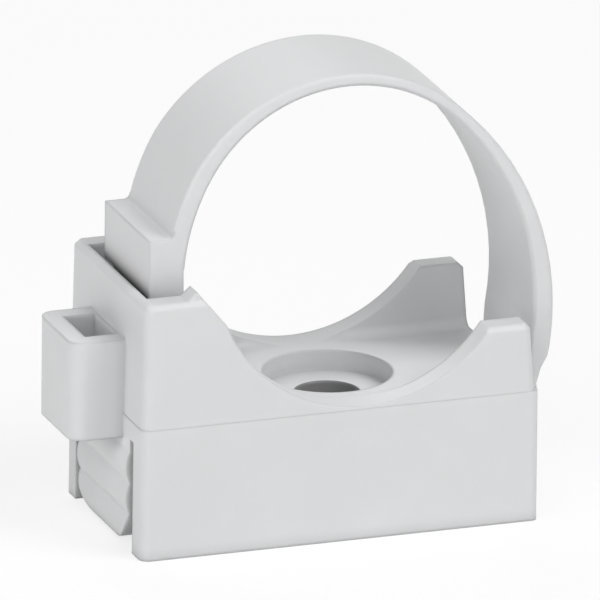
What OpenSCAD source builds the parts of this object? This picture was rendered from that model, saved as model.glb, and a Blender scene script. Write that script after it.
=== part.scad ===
// Conduit clip with a hinged strap.
// A hollow moulded base carries the conduit in a saddle, and a strap closes over it.
// X runs from the latch end to the hinge end, Y along the conduit, Z up from the wall
// that the clip is screwed to. The origin is on the screw hole's axis, at the underside.

/* [Conduit] */
// Outside diameter of the conduit that the clip holds
conduit_d = 25; // [20:0.5:32]
// Play between the conduit and the saddle, on the radius
conduit_play = 0.05; // [0.02:0.01:0.1]

/* [Base] */
// Width of the base, along the conduit
base_width = 18.2; // [16:0.1:24]
// From the conduit's side to the outside of the latch end
latch_land = 6.1; // [5.8:0.1:8]
// From the conduit's side to the outside of the hinge end
hinge_land = 2.1; // [1.6:0.1:4]
// Height of the floor above the underside
floor_height = 11; // [9.5:0.1:16]
// Thickness of the floor
floor_thick = 1.8; // [1.2:0.1:2.6]
// Height of the saddle's lowest line above the floor
saddle_lip = 0.05; // [0.05:0.05:1]
// How far the line where the walls set back lies below the floor
step_drop = 0.2; // [0.1:0.1:0.6]
// Thickness of the front and rear walls above the floor
wall_thick = 2.1; // [1.6:0.1:2.6]
// Thickness of the skirt below the floor
skirt_thick = 1.8; // [1.2:0.1:2.2]
// Thickness of the latch end's wall
end_thick = 0.9; // [0.8:0.05:1.6]
// How far the latch end's top lies below the conduit's centre line
latch_drop = 2.5; // [1.5:0.1:4]
// How far the hinge end's ears lie below the conduit's centre line
ear_drop = 7.2; // [6:0.1:8]
// Set-back of the walls above the floor line
wall_setback = 0.08; // [0.04:0.02:0.4]
// Lean of the latch end over the height of its wall
end_lean = 0.2; // [0.05:0.05:0.5]
// Set-back of the ears from the hinge end, at the floor
ear_setback = 0.3; // [0.1:0.05:0.8]
// Lean of the ears over their height
ear_lean = 0.45; // [0.05:0.05:0.8]
// Corner radius at the latch end
latch_corner_r = 0.8; // [0.6:0.1:2.2]
// Corner radius at the hinge end
hinge_corner_r = 0.6; // [0.5:0.1:1.4]
// Chamfer along the walls' top edges
top_chamfer = 0.4; // [0.1:0.05:0.45]
// Height of the small peaks between the latch end's top and the saddle
peak_rise = 0.7; // [0.3:0.1:1]
// Radius between the floor and the walls, inside
floor_fillet = 0.9; // [0.3:0.1:1.5]

/* [Screw] */
// Diameter of the screw hole
screw_d = 5.2; // [4:0.1:5.6]
// Diameter of the recess for the screw's head
recess_d = 10.4; // [9:0.1:11.4]
// Depth of the recess below the floor
recess_depth = 1.7; // [1.2:0.1:3.5]
// Thickness of the ledge under the screw's head
ledge_thick = 1.6; // [1:0.1:2.5]
// Wall round the recess and the screw sleeve
sleeve_wall = 1.3; // [1:0.1:1.6]
// Thickness of the ribs between the sleeve and the skirt
rib_thick = 1.2; // [0.8:0.1:2]

/* [Pry loop] */
// How far the loop stands out of the latch end
loop_reach = 4.2; // [3.6:0.1:6]
// Width of the loop
loop_width = 8.4; // [6.5:0.1:9]
// Width of the loop's slot
loop_slot = 5.2; // [4:0.1:5.6]
// Thickness of the loop's outer wall
loop_wall = 1.6; // [1:0.1:1.8]
// Height of the loop's lower edge above the underside
loop_bottom = 8.8; // [8.5:0.1:10]
// Height of the loop
loop_height = 8.1; // [4:0.1:9]
// Radius of the loop's outer corners
loop_corner_r = 1.3; // [0.6:0.1:1.6]

/* [Grip tongue] */
// Width of the skirt's legs beside the tongue
leg_width = 2.3; // [1.9:0.1:3]
// Width of the slots between the legs and the tongue
tongue_slot = 0.9; // [0.5:0.1:1.2]
// Thickness of the tongue
tongue_thick = 1.5; // [1:0.1:1.8]
// Height of the tongue's lower edge above the underside
tongue_bottom = 0.3; // [0.2:0.1:1.2]
// Radius of the tongue's lower corners
tongue_corner_r = 3; // [1:0.1:3.5]
// Number of grip ridges
ridge_count = 3; // [2:1:4]
// Height of one grip ridge
ridge_pitch = 2.6; // [1.6:0.1:2.6]
// How far a grip ridge stands proud
ridge_rise = 0.3; // [0.15:0.05:0.5]

/* [Strap] */
// Gap between the strap and the walls, on each side
strap_side_gap = 1.6; // [0.8:0.1:2.4]
// Thickness of the strap where it is thinnest, on the hinge side of its top
strap_thick = 0.95; // [0.8:0.05:1.4]
// Thickness of the strap at its head
head_side_thick = 1.5; // [1.2:0.05:1.7]
// Thickness of the strap above its foot
foot_side_thick = 1.8; // [1.4:0.05:1.9]
// Gap between the conduit and the strap, where they are nearest
strap_gap = 0.06; // [0.04:0.02:0.5]
// Shift of the strap's top arc towards the latch
strap_shift = 0.36; // [0.2:0.02:0.6]
// How far the centre of the top arc lies below the conduit's
strap_drop = 0.3; // [0.1:0.05:0.5]
// Angle at which the top arc meets the latch side's arc
latch_arc_angle = 153; // [146:1:156]
// Angle at which the top arc meets the hinge side's arc
hinge_arc_angle = 47; // [44:1:56]
// Chamfer along the strap's edges
strap_chamfer = 0.22; // [0.1:0.02:0.3]

/* [Latch] */
// Gap between the latch end's wall and the strap's head
head_gap = 0.75; // [0.6:0.05:0.9]
// Thickness of the strap's head
head_thick = 3; // [2.7:0.05:3.2]
// Height of the head's ledge above the latch end
head_rise = 4.1; // [3.4:0.1:5.5]
// How far the head reaches into the slot behind the latch end's wall
head_drop = 0.6; // [0.3:0.1:0.9]
// Fillet between the head's ledge and the strap
ledge_fillet = 0.5; // [0.2:0.1:0.7]
// How far the head overhangs the tail
head_overhang = 0.75; // [0.6:0.05:0.9]
// How far the tail reaches below the top of the latch end
tail_drop = 7.2; // [5.5:0.1:8]
// Number of teeth on the tail
tooth_count = 3; // [1:1:3]
// Height of one tooth
tooth_pitch = 1.5; // [1:0.1:1.6]
// How far a tooth stands proud
tooth_rise = 0.4; // [0.2:0.05:0.5]
// Running gap between the teeth and the catch
catch_gap = 0.15; // [0.1:0.05:0.25]

/* [Hinge] */
// Radius of the bead at the strap's foot
bead_r = 0.7; // [0.6:0.05:0.9]
// Running gap round the bead
bead_gap = 0.05; // [0.02:0.01:0.1]
// Height of the hinge line below the floor
hinge_drop = 1.2; // [1:0.05:1.5]
// How far the hinge line stands out of the hinge end
hinge_reach = 0.4; // [0.3:0.05:0.5]

/* [Hidden] */
// Overlap that keeps joined solids joined, and clears cut faces
join = 0.4;
past = 1;
// The two upper blocks lap past each other inside the conduit's space
block_lap = 4;
round_steps = 96;
corner_steps = 32;
// Stretches along each side arc of the strap, and the angle between points of its top arc
arc_steps = 14;
// Where the strap's hinge side arc ends, above and beside the hinge line
foot_rise = 3.7;
foot_lean = 0.05;
// Height on the latch head at which the strap's latch side arc ends, as a share of the rise
head_meet = 0.35;
// How far the ramps begin outside the conduit's side, and their drop
ramp_out = 0.9;
ramp_drop = 2.2;
// Height of the ribs' lower edge above the wall, and of the first tooth below the latch end
rib_lift = 0.6;
tooth_start = 2;
// Set-back of the first section of the teeth's tips, and the small chamfers of the tail
tooth_lead = 0.3;
tail_chamfer = 0.5;

saddle_r = conduit_d / 2 + conduit_play;
latch_x = -conduit_d / 2 - latch_land;
hinge_x = conduit_d / 2 + hinge_land;
centre_z = floor_height + saddle_lip + saddle_r;
step_z = floor_height - step_drop;
latch_top = centre_z - latch_drop;
ramp_x = -saddle_r - ramp_out;
ear_top = centre_z - ear_drop;

wall_half = base_width / 2 - wall_setback;
channel_half = wall_half - wall_thick;
tongue_half = base_width / 2 - leg_width - tongue_slot;
strap_width = 2 * (channel_half - strap_side_gap);
latch_inner = latch_x + wall_setback + end_thick;

recess_floor = floor_height - recess_depth;
cup_r = recess_d / 2 + sleeve_wall;
sleeve_r = screw_d / 2 + sleeve_wall;

axis_x = hinge_x + hinge_reach;
axis_z = floor_height - hinge_drop;

head_x = latch_inner + head_gap;
head_top = latch_top + head_rise;
head_inner = head_x + head_thick;
tail_x = head_x + head_overhang;
tail_z = latch_top - tail_drop;
tooth_tip = tail_x - tooth_rise;

arc_r = conduit_d / 2 + strap_gap + norm([strap_shift, strap_drop]);
arc_centre = [-strap_shift, centre_z - strap_drop];
latch_arc_end = [head_inner, latch_top + head_rise * head_meet];
hinge_arc_end = [axis_x + foot_lean, axis_z + foot_rise];

// Radius of the arc that leaves a circle at an angle, tangent to it, and ends in a point
function tangent_r(centre, r, angle, point) =
    let (d = point - centre, along = d * [cos(angle), sin(angle)])
    (d * d + r * r - 2 * r * along) / (2 * (r - along));
function tangent_centre(centre, r, angle, outer_r) =
    centre + (r - outer_r) * [cos(angle), sin(angle)];
function angle_to(centre, point) = atan2(point.y - centre.y, point.x - centre.x);

latch_arc_r = tangent_r(arc_centre, arc_r, latch_arc_angle, latch_arc_end);
latch_arc_centre = tangent_centre(arc_centre, arc_r, latch_arc_angle, latch_arc_r);
hinge_arc_r = tangent_r(arc_centre, arc_r, hinge_arc_angle, hinge_arc_end);
hinge_arc_centre = tangent_centre(arc_centre, arc_r, hinge_arc_angle, hinge_arc_r);
latch_arc_stop = (angle_to(latch_arc_centre, latch_arc_end) + 360) % 360;
hinge_arc_stop = angle_to(hinge_arc_centre, hinge_arc_end);
arc_step = (latch_arc_angle - hinge_arc_angle) / (2 * arc_steps + 2);

// Extrudes a side view, drawn in X and Z, evenly about the middle of the width
module side_view(width) {
    rotate([90, 0, 0])
        linear_extrude(height = width, center = true)
            children();
}

// Four thin discs at the corners of a plan rectangle with two corner radii
module plan_corners(x0, x1, half, z, latch_r, hinge_r) {
    for (side = [-1, 1]) {
        translate([x0 + latch_r, side * (half - latch_r), z])
            cylinder(r = latch_r, h = 0.01, $fn = corner_steps);
        translate([x1 - hinge_r, side * (half - hinge_r), z])
            cylinder(r = hinge_r, h = 0.01, $fn = corner_steps);
    }
}

// Upright block whose ends lean in towards a chamfered top
module leaning_block(x0, x1, z0, z1, latch_lean, hinge_lean, latch_r, hinge_r) {
    hull() {
        plan_corners(x0, x1, wall_half, z0, latch_r, hinge_r);
        plan_corners(x0 + latch_lean, x1 - hinge_lean, wall_half,
                     z1 - top_chamfer, latch_r, hinge_r);
        plan_corners(x0 + latch_lean + top_chamfer, x1 - hinge_lean - top_chamfer,
                     wall_half - top_chamfer, z1 - 0.01,
                     latch_r - top_chamfer, hinge_r - top_chamfer);
    }
}

module lower_block() {
    hull() {
        plan_corners(latch_x, hinge_x, base_width / 2, 0, latch_corner_r, hinge_corner_r);
        plan_corners(latch_x + wall_setback / 2, hinge_x - wall_setback / 2,
                     base_width / 2, step_z - 0.01, latch_corner_r, hinge_corner_r);
    }
}

// Space between the front and rear walls, open at the top and at the hinge end
module channel() {
    length = hinge_x - latch_inner + past;
    translate([latch_inner, 0, 0])
        rotate([90, 0, 90])
            linear_extrude(height = length) {
                translate([-channel_half, floor_height + floor_fillet])
                    square([2 * channel_half, conduit_d]);
                translate([-channel_half + floor_fillet, floor_height])
                    square([2 * (channel_half - floor_fillet), conduit_d]);
                for (side = [-1, 1])
                    translate([side * (channel_half - floor_fillet),
                               floor_height + floor_fillet])
                        circle(r = floor_fillet, $fn = corner_steps);
            }
}

module conduit_space() {
    translate([0, 0, centre_z])
        rotate([90, 0, 0])
            cylinder(r = saddle_r, h = base_width + 2 * past, center = true,
                     $fn = round_steps);
}

// The walls slope down from the latch end's flat top into the saddle
module saddle_ramp() {
    low_z = latch_top - ramp_drop;
    low_x = -sqrt(pow(saddle_r, 2) - pow(centre_z - low_z, 2));
    side_view(base_width + past)
        polygon([[ramp_x, latch_top + past], [ramp_x, latch_top], [low_x, low_z],
                 [0, low_z], [0, latch_top + past]]);
}

// Small peaks where the walls' tops meet the ramps
module saddle_peaks() {
    side_view(2 * (wall_half - top_chamfer))
        polygon([[ramp_x - 2.5 * peak_rise, latch_top - join],
                 [ramp_x - 2 * peak_rise, latch_top],
                 [ramp_x - 0.8 * peak_rise, latch_top + peak_rise],
                 [ramp_x, latch_top], [ramp_x, latch_top - join]]);
}

module skirt_hollow() {
    x0 = latch_x + skirt_thick;
    x1 = hinge_x - skirt_thick;
    half = base_width / 2 - skirt_thick;
    translate([x0, -half, -past])
        cube([x1 - x0, 2 * half, floor_height - floor_thick + past]);
}

module tongue_window() {
    half = tongue_half + tongue_slot;
    translate([latch_x - past, -half, -past])
        cube([past + skirt_thick + join, 2 * half, loop_bottom + join + past]);
}

module tongue_outline() {
    top = loop_bottom + 2 * join;
    translate([-tongue_half, tongue_bottom + tongue_corner_r])
        square([2 * tongue_half, top - tongue_bottom - tongue_corner_r]);
    translate([-tongue_half + tongue_corner_r, tongue_bottom])
        square([2 * (tongue_half - tongue_corner_r), tongue_corner_r]);
    for (side = [-1, 1])
        translate([side * (tongue_half - tongue_corner_r), tongue_bottom + tongue_corner_r])
            circle(r = tongue_corner_r, $fn = corner_steps);
}

// Side view of the grip tongue: a plate with rounded ridges, one above the other
module tongue_side() {
    ridge_r = (pow(ridge_pitch / 2, 2) + pow(ridge_rise, 2)) / (2 * ridge_rise);
    translate([latch_x + wall_setback, tongue_bottom])
        square([tongue_thick, loop_bottom + 2 * join - tongue_bottom]);
    for (i = [0 : ridge_count - 1])
        translate([latch_x + wall_setback - ridge_rise + ridge_r,
                   tongue_bottom + ridge_pitch * (i + 0.5)])
            intersection() {
                circle(r = ridge_r, $fn = round_steps);
                translate([-ridge_r, -ridge_pitch / 2])
                    square([ridge_rise + join, ridge_pitch]);
            }
}

module grip_tongue() {
    intersection() {
        side_view(2 * tongue_half)
            tongue_side();
        translate([latch_x - past, 0, 0])
            rotate([90, 0, 90])
                linear_extrude(height = 2 * past + skirt_thick)
                    tongue_outline();
    }
}

// Open loop on the latch end: a blade pushed down through it pries the end back
module pry_loop() {
    tip_x = latch_x - loop_reach;
    root_x = latch_x + wall_setback + join;
    half = loop_width / 2;
    difference() {
        translate([0, 0, loop_bottom])
            linear_extrude(height = loop_height) {
                translate([tip_x + loop_corner_r, -half])
                    square([root_x - tip_x - loop_corner_r, loop_width]);
                translate([tip_x, -half + loop_corner_r])
                    square([loop_corner_r, loop_width - 2 * loop_corner_r]);
                for (side = [-1, 1])
                    translate([tip_x + loop_corner_r, side * (half - loop_corner_r)])
                        circle(r = loop_corner_r, $fn = corner_steps);
            }
        translate([tip_x + loop_wall, -loop_slot / 2, loop_bottom - past])
            cube([loop_reach - loop_wall, loop_slot, loop_height + 2 * past]);
    }
}

// Catch inside the latch end, just clear of the teeth on the strap's tail
module catch_ridge() {
    tip_x = tooth_tip - catch_gap;
    z = latch_top - tail_drop * 0.5;
    side_view(strap_width - 2)
        polygon([[latch_inner - join, z - 0.8], [latch_inner, z - 0.8], [tip_x, z - 0.2],
                 [tip_x, z + 0.1], [latch_inner, z + 1.2], [latch_inner - join, z + 1.2]]);
}

module screw_seat() {
    translate([0, 0, recess_floor - ledge_thick])
        cylinder(r = cup_r, h = recess_depth + ledge_thick - join, $fn = round_steps);
    cylinder(r = sleeve_r, h = recess_floor - join, $fn = round_steps);
    rib_length = base_width - skirt_thick;
    translate([-rib_thick / 2, -rib_length / 2, rib_lift])
        cube([rib_thick, rib_length, recess_floor - rib_lift - join]);
}

module screw_bores() {
    translate([0, 0, recess_floor])
        cylinder(d = recess_d, h = recess_depth + past, $fn = round_steps);
    translate([0, 0, -past])
        cylinder(d = screw_d, h = floor_height + 2 * past, $fn = round_steps);
}

module hinge_groove() {
    translate([axis_x, 0, axis_z])
        rotate([90, 0, 0])
            cylinder(r = bead_r + bead_gap, h = strap_width + 4 * bead_gap, center = true,
                     $fn = round_steps);
}

module saddle_base() {
    color([0.84, 0.845, 0.86])
    difference() {
        union() {
            difference() {
                union() {
                    lower_block();
                    leaning_block(latch_x + wall_setback, block_lap,
                                  step_z - join, latch_top, end_lean, 0,
                                  latch_corner_r, hinge_corner_r);
                    leaning_block(-block_lap, hinge_x - ear_setback,
                                  step_z - join, ear_top, 0, ear_lean,
                                  hinge_corner_r, hinge_corner_r);
                    saddle_peaks();
                }
                channel();
                conduit_space();
                saddle_ramp();
                skirt_hollow();
                tongue_window();
            }
            screw_seat();
            grip_tongue();
            pry_loop();
            catch_ridge();
        }
        screw_bores();
        hinge_groove();
    }
}

// Points along an arc, each with the point outside it by the strap's thickness there.
// The thickness grows by more and more towards the thicker end when ease is above 1.
function arc_pairs(centre, r, start, stop, steps, thin, thick, ease, thick_first) = [
    for (i = [0 : steps])
        let (a = start + (stop - start) * i / steps,
             way = [cos(a), sin(a)],
             share = thick_first ? 1 - i / steps : i / steps,
             t = thin + (thick - thin) * pow(share, ease))
        [centre + r * way, centre + (r + t) * way]];

// The foot narrows from the strap's full thickness down into the hinge bead
function foot_pairs(axis) = [
    [axis + [-0.02, 2.5], axis + [1.65, 2.45]],
    [axis + [0, 1.2], axis + [1.1, 1.45]],
    [axis + [-0.2, 0.3], axis + [0.65, -0.1]]];

function strap_pairs() = concat(
    arc_pairs(latch_arc_centre, latch_arc_r, latch_arc_stop, latch_arc_angle, arc_steps,
              head_side_thick, head_side_thick, 1, true),
    arc_pairs(arc_centre, arc_r, latch_arc_angle - arc_step, hinge_arc_angle + arc_step,
              2 * arc_steps, strap_thick, head_side_thick, 2, true),
    arc_pairs(hinge_arc_centre, hinge_arc_r, hinge_arc_angle, hinge_arc_stop, arc_steps,
              strap_thick, foot_side_thick, 1, false),
    foot_pairs([axis_x, axis_z]));

// Cross section of the strap between an inner and an outer point, its edges chamfered
function strap_section(pair) =
    let (half = strap_width / 2, c = strap_chamfer, across = pair[1] - pair[0],
         in = pair[0], out = pair[1], inset = across * c / norm(across),
         low = in + inset, high = out - inset)
    [[in.x, -half + c, in.y], [low.x, -half, low.y], [high.x, -half, high.y],
     [out.x, -half + c, out.y], [out.x, half - c, out.y], [high.x, half, high.y],
     [low.x, half, low.y], [in.x, half - c, in.y]];

// Joins a row of sections that have the same number of points into one solid
module sweep(sections) {
    count = len(sections[0]);
    last = len(sections) - 1;
    faces = concat(
        [[for (k = [count - 1 : -1 : 0]) k]],
        [for (i = [0 : last - 1], k = [0 : count - 1])
            let (next = (k + 1) % count)
            [i * count + next, (i + 1) * count + next, (i + 1) * count + k, i * count + k]],
        [[for (k = [0 : count - 1]) last * count + k]]);
    polyhedron(points = [for (section = sections) each section], faces = faces);
}

module band() {
    sweep([for (pair = strap_pairs()) strap_section(pair)]);
}

// Side view of the latch: a head with a ledge, and a toothed tail below it
module latch_side() {
    undercut_z = latch_top - head_drop;
    fillet_z = head_top + ledge_fillet;
    ledge_x = latch_arc_centre.x + 0.05
        - sqrt(pow(latch_arc_r + head_side_thick, 2) - pow(fillet_z - latch_arc_centre.y, 2));
    polygon([
        [ledge_x + head_side_thick / 2, fillet_z],
        for (i = [0 : 6])
            [ledge_x, head_top] + ledge_fillet * [cos(15 * i) - 1, 1 - sin(15 * i)],
        [head_x, head_top], [head_x, undercut_z],
        [tail_x, undercut_z - head_overhang],
        for (i = [0 : tooth_count - 1])
            let (z = latch_top - tooth_start - tooth_pitch * i)
            each [[tail_x, z], [tooth_tip, z - tooth_lead], [tail_x, z - tooth_pitch + 0.1]],
        [tail_x, tail_z + tail_chamfer], [tail_x + tail_chamfer, tail_z],
        [head_inner - tail_chamfer, tail_z], [head_inner, tail_z + tail_chamfer]]);
}

module hinge_bead() {
    translate([axis_x, 0, axis_z])
        rotate([90, 0, 0])
            cylinder(r = bead_r, h = strap_width, center = true, $fn = round_steps);
}

module strap() {
    color([0.82, 0.825, 0.84])
    union() {
        band();
        side_view(strap_width)
            latch_side();
        hinge_bead();
    }
}

saddle_base();
strap();
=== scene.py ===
"""Conduit clip: a moulded saddle base and its hinged strap, in pale grey satin plastic."""
import math

import bpy
from mathutils import Matrix, Vector


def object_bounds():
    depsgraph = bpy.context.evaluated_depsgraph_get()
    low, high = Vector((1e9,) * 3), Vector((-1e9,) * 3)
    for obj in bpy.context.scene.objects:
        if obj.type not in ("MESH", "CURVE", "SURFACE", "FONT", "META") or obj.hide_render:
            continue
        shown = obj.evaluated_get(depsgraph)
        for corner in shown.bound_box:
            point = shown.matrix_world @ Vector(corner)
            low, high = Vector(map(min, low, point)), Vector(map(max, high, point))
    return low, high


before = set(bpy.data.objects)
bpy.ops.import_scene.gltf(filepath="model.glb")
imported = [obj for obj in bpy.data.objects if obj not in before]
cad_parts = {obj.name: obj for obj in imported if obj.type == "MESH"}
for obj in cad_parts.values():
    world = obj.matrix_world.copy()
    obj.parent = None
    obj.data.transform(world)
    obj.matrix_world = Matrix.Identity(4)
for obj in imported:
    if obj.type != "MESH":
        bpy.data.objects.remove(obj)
cad_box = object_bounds()

MM = 0.001
IMAGE_PIXELS = 600

# Camera, as solved from the base's corners
CAMERA_AZIMUTH = math.radians(19.79)
CAMERA_ELEVATION = math.radians(18.85)
CAMERA_ROLL = math.radians(0.7)
CAMERA_DISTANCE = 1.9
CAMERA_CLIP = (0.1, 100)
PIXELS_PER_METRE = 12640
SENSOR_MM = 36
# The middle of the base's underside, and the pixel on which it falls
BASE_MIDDLE_X = -2.0 * MM
UNDERSIDE_PIXEL = (301.73, 504.83)

# Colours, linear
PLASTIC = (0.700, 0.704, 0.711)
FLOOR_WHITE = (0.90, 0.90, 0.90)
SEEN_WHITE = (0.98, 0.98, 0.98)
AMBIENT_COLOUR = (1.0, 1.0, 1.0)

# Each noise's scale per metre, and its detail
FLOW_MARKS = (90.0, 3.0)
CLOUDS = (420.0, 4.0)
GRAIN = (9000.0, 2.0)
RIPPLES = (1400.0, 3.0)
FLOOR_SPECKS = (40.0, 2.0)
NOISE_ROUGHNESS = 0.5

# Flow marks are a little darker than the plastic, and clouds a little paler
FLOW_FADE = (0.35, 0.65)
FLOW_SHADE = 0.985
CLOUD_FADE = (0.45, 0.75)
CLOUD_SHADE = 1.03
CLOUD_SHARE = 0.35

# Painted shade: narrow crevices within this reach are darker, down to this share of the plastic's
# colour
PAINTED_CREVICE_REACH = 2.2 * MM
PAINTED_CREVICE_FADE = (0.02, 0.82)
PAINTED_CREVICE_SHADE = 0.42

# Painted shade on the deep screw hole's wall, darker still, with a soft edge just outside its
# radius
SCREW_HOLE_RADIUS = 2.6 * MM
BORE_EDGE_START = 0.02 * MM
BORE_EDGE_END = 0.10 * MM
PAINTED_BORE_SHADE = 0.38

# Satin surface: rougher in the clouds, with a fine grain and ripples for its relief
SATIN_ROUGHNESS = 0.40
CLOUD_ROUGHNESS = 0.12
SATIN_SPECULAR = 0.42
GRAIN_DEPTH = 0.012 * MM
GRAIN_STRENGTH = 0.25
RIPPLE_SHARE = 1.5
# Moulded edges look rounded by this much
EDGE_RADIUS = 0.42 * MM
# Rays for each look at a crevice or an edge
SURFACE_RAYS = 8

# The floor lies just under the part, with faint specks
FLOOR_SIZE = 3.0
FLOOR_GAP = 0.02 * MM
FLOOR_SPECK_SHADE = 0.99
FLOOR_ROUGHNESS = 0.9
# The seen floor is mostly glow, with a share of lit white that keeps the shadow
FLOOR_GLOW = 0.80
SHADOW_SHARE = 0.25

# Light: the world's strength, then each softbox's place, size and power in watts
AMBIENT = 0.15
LAMP_TARGET = (0, 0, 0.015)
LAMPS = {
    "key": ((0.25, -0.30, 0.45), (0.30, 0.30), 1.90),
    "high_left": ((-0.26, -0.36, 0.40), (0.30, 0.30), 0.75),
    "low_left": ((-0.45, -0.30, 0.07), (0.25, 0.12), 0.36),
    "left": ((-0.50, -0.12, 0.22), (0.30, 0.30), 0.60),
    "back": ((0.0, 0.40, 0.42), (0.35, 0.30), 0.65),
}


class Value:
    """A shader socket that arithmetic can be written on."""

    def __init__(self, finish, socket):
        self.finish = finish
        self.socket = socket

    def math(self, operation, other):
        return self.finish.node("ShaderNodeMath", {"operation": operation}, {0: self, 1: other})

    def __add__(self, other):
        return self.math("ADD", other)

    def __mul__(self, other):
        return self.math("MULTIPLY", other)

    __radd__ = __add__
    __rmul__ = __mul__

    def smooth(self, low, high):
        """0 below low, 1 above high, with soft ends."""
        settings = {"interpolation_type": "SMOOTHSTEP"}
        values = {"Value": self, "From Min": low, "From Max": high}
        return self.finish.node("ShaderNodeMapRange", settings, values, "Result")


class Finish:
    """The shader nodes of one material, or of the world."""

    def __init__(self, owner):
        owner.use_nodes = True
        self.tree = owner.node_tree
        self.tree.nodes.clear()

    def node(self, kind, settings=None, values=None, output=0):
        """A node with its settings first, then its sockets' values or links."""
        made = self.tree.nodes.new(kind)
        for key, setting in (settings or {}).items():
            setattr(made, key, setting)
        for key, value in (values or {}).items():
            if isinstance(value, Value):
                self.tree.links.new(value.socket, made.inputs[key])
            else:
                made.inputs[key].default_value = value
        return Value(self, made.outputs[output]) if len(made.outputs) else None

    def place(self):
        return self.node("ShaderNodeTexCoord", output="Object")

    def noise(self, place, scale, detail):
        values = {"Vector": place, "Scale": scale, "Detail": detail, "Roughness": NOISE_ROUGHNESS}
        return self.node("ShaderNodeTexNoise", None, values, "Fac")

    def mix(self, factor, a, b):
        """Colour a where the factor is 0, and colour b where it is 1."""
        values = {0: factor, 6: opaque(a), 7: opaque(b)}
        return self.node("ShaderNodeMix", {"data_type": "RGBA"}, values, 2)

    def from_axis(self, place):
        """Distance from the upright axis of the screw hole."""
        values = {0: place, 1: (1, 1, 0)}
        flat = self.node("ShaderNodeVectorMath", {"operation": "MULTIPLY"}, values)
        return self.node("ShaderNodeVectorMath", {"operation": "LENGTH"}, {0: flat}, "Value")

    def seen_by_eye(self):
        """1 for rays from the camera, and for its reflections and what it sees through."""
        seen = self.node("ShaderNodeLightPath", output="Is Camera Ray")
        for ray in ("Is Glossy Ray", "Is Transmission Ray"):
            seen = seen.math("MAXIMUM", self.node("ShaderNodeLightPath", output=ray))
        return seen

    def shown_as(self, white, lit):
        """White to the eye, while other rays meet the lit shader."""
        return self.node("ShaderNodeMixShader", None, {0: self.seen_by_eye(), 1: lit, 2: white})


def opaque(colour):
    """A colour as a socket takes it: a link, or four numbers."""
    return colour if isinstance(colour, Value) else (*colour, 1.0)


def scaled(colour, factor):
    return tuple(channel * factor for channel in colour)


def plastic_tone(finish, place, cloud, painted_shade_hole_radius):
    """Even pale grey with faint flow marks and clouds, and painted shade in crevices and on the
    bore's wall.
    """
    flow = finish.noise(place, *FLOW_MARKS)
    tone = finish.mix(flow.smooth(*FLOW_FADE), scaled(PLASTIC, FLOW_SHADE), PLASTIC)
    clouded = cloud.smooth(*CLOUD_FADE) * CLOUD_SHARE
    tone = finish.mix(clouded, tone, scaled(PLASTIC, CLOUD_SHADE))
    # Painted shade: an occlusion mask darkens the colour in narrow crevices
    values = {"Distance": PAINTED_CREVICE_REACH}
    openness = finish.node("ShaderNodeAmbientOcclusion", {"samples": SURFACE_RAYS}, values, "AO")
    tone = finish.mix(openness.smooth(*PAINTED_CREVICE_FADE), scaled(PLASTIC, PAINTED_CREVICE_SHADE), tone)
    # Painted shade: the screw hole's wall is darkened inside the hole's radius
    if painted_shade_hole_radius:
        edge = (painted_shade_hole_radius + BORE_EDGE_START, painted_shade_hole_radius + BORE_EDGE_END)
        outside = finish.from_axis(place).smooth(*edge)
        tone = finish.mix(outside, scaled(PLASTIC, PAINTED_BORE_SHADE), tone)
    return tone


def eroded_grain(finish, place):
    """Fine grain and soft ripples on edges that look rounded."""
    grain = finish.noise(place, *GRAIN)
    ripple = finish.noise(place, *RIPPLES)
    rounded = finish.node("ShaderNodeBevel", {"samples": SURFACE_RAYS}, {"Radius": EDGE_RADIUS})
    values = {
        "Strength": GRAIN_STRENGTH,
        "Distance": GRAIN_DEPTH,
        "Height": grain + ripple * RIPPLE_SHARE,
        "Normal": rounded,
    }
    return finish.node("ShaderNodeBump", None, values)


def moulded_plastic(name, painted_shade_hole_radius=None):
    """Satin moulded plastic, with painted shade in crevices. A hole radius paints shade on the
    screw hole's wall.
    """
    material = bpy.data.materials.new(name)
    finish = Finish(material)
    place = finish.place()
    cloud = finish.noise(place, *CLOUDS)
    values = {
        "Base Color": plastic_tone(finish, place, cloud, painted_shade_hole_radius),
        "Roughness": cloud * CLOUD_ROUGHNESS + SATIN_ROUGHNESS,
        "Specular IOR Level": SATIN_SPECULAR,
        "Normal": eroded_grain(finish, place),
    }
    satin = finish.node("ShaderNodeBsdfPrincipled", None, values)
    finish.node("ShaderNodeOutputMaterial", None, {"Surface": satin})
    return material


def camera():
    """The photograph's view, from far enough away to be all but parallel."""
    sa, ca = math.sin(CAMERA_AZIMUTH), math.cos(CAMERA_AZIMUTH)
    se, ce = math.sin(CAMERA_ELEVATION), math.cos(CAMERA_ELEVATION)
    ahead = Vector((sa * ce, ca * ce, -se))
    level_right = Vector((ca, -sa, 0))
    level_up = level_right.cross(ahead)
    right = level_right * math.cos(CAMERA_ROLL) + level_up * math.sin(CAMERA_ROLL)
    up = level_up * math.cos(CAMERA_ROLL) - level_right * math.sin(CAMERA_ROLL)
    underside = Vector((BASE_MIDDLE_X, 0, cad_box[0].z))
    middle = IMAGE_PIXELS / 2
    across = (middle - UNDERSIDE_PIXEL[0]) / PIXELS_PER_METRE
    above = (UNDERSIDE_PIXEL[1] - middle) / PIXELS_PER_METRE
    aim = underside + right * across + up * above
    data = bpy.data.cameras.new("view")
    data.sensor_width = SENSOR_MM
    data.lens = SENSOR_MM * PIXELS_PER_METRE * CAMERA_DISTANCE / IMAGE_PIXELS
    data.clip_start, data.clip_end = CAMERA_CLIP
    made = bpy.data.objects.new("view", data)
    turn = Matrix((right, up, -ahead)).transposed()
    made.matrix_world = Matrix.Translation(aim - ahead * CAMERA_DISTANCE) @ turn.to_4x4()
    bpy.context.scene.collection.objects.link(made)
    bpy.context.scene.camera = made


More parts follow.
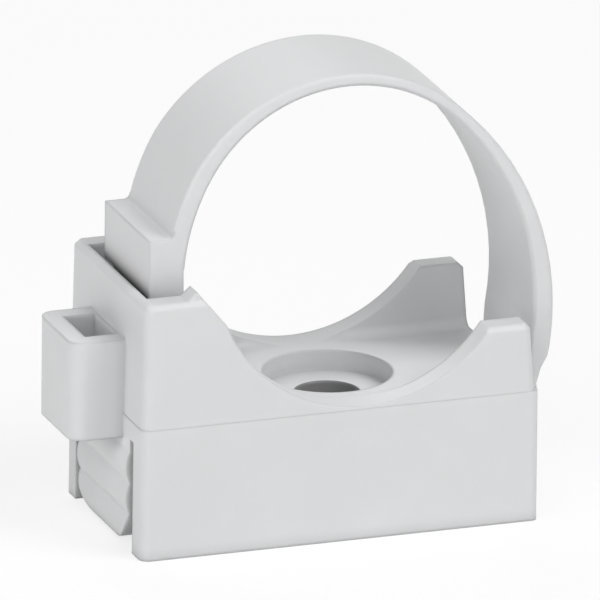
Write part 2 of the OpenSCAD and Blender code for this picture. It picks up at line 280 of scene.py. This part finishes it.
def softbox(name, location, size, power):
    data = bpy.data.lights.new(name, "AREA")
    data.shape = "RECTANGLE"
    data.size, data.size_y = size
    data.energy = power
    made = bpy.data.objects.new(name, data)
    made.location = location
    aim = Vector(LAMP_TARGET) - Vector(location)
    made.rotation_mode = "QUATERNION"
    made.rotation_quaternion = aim.to_track_quat("-Z", "Y")
    bpy.context.scene.collection.objects.link(made)


def white_world():
    """Soft light from all round, seen as plain white."""
    world = bpy.data.worlds.new("studio")
    finish = Finish(world)
    soft = {"Color": opaque(AMBIENT_COLOUR), "Strength": AMBIENT}
    ambient = finish.node("ShaderNodeBackground", None, soft)
    white = finish.node("ShaderNodeBackground", None, {"Color": opaque(SEEN_WHITE)})
    finish.node("ShaderNodeOutputWorld", None, {"Surface": finish.shown_as(white, ambient)})
    bpy.context.scene.world = world


def white_floor():
    """Pale floor that looks white and still takes the part's shadow."""
    bpy.ops.mesh.primitive_plane_add(size=FLOOR_SIZE, location=(0, 0, cad_box[0].z - FLOOR_GAP))
    floor = bpy.context.object
    floor.name = "studio_floor"
    material = bpy.data.materials.new("floor_white")
    finish = Finish(material)
    specks = finish.noise(finish.place(), *FLOOR_SPECKS)
    tone = finish.mix(specks, scaled(FLOOR_WHITE, FLOOR_SPECK_SHADE), FLOOR_WHITE)
    values = {"Base Color": tone, "Roughness": FLOOR_ROUGHNESS}
    lit = finish.node("ShaderNodeBsdfPrincipled", None, values)
    glow = {
        "Base Color": opaque(scaled(FLOOR_WHITE, SHADOW_SHARE)),
        "Roughness": 1.0,
        "Specular IOR Level": 0.0,
        "Emission Color": opaque(SEEN_WHITE),
        "Emission Strength": FLOOR_GLOW,
    }
    white = finish.node("ShaderNodeBsdfPrincipled", None, glow)
    finish.node("ShaderNodeOutputMaterial", None, {"Surface": finish.shown_as(white, lit)})
    floor.data.materials.append(material)


camera()
white_world()
white_floor()
for name, lamp in LAMPS.items():
    softbox(name, *lamp)

plastics = {
    "saddle_base": moulded_plastic("base_plastic", SCREW_HOLE_RADIUS),
    "strap": moulded_plastic("strap_plastic"),
}
for name, plastic in plastics.items():
    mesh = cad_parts[name].data
    mesh.materials.clear()
    mesh.materials.append(plastic)

bpy.context.scene.view_settings.view_transform = "Standard"
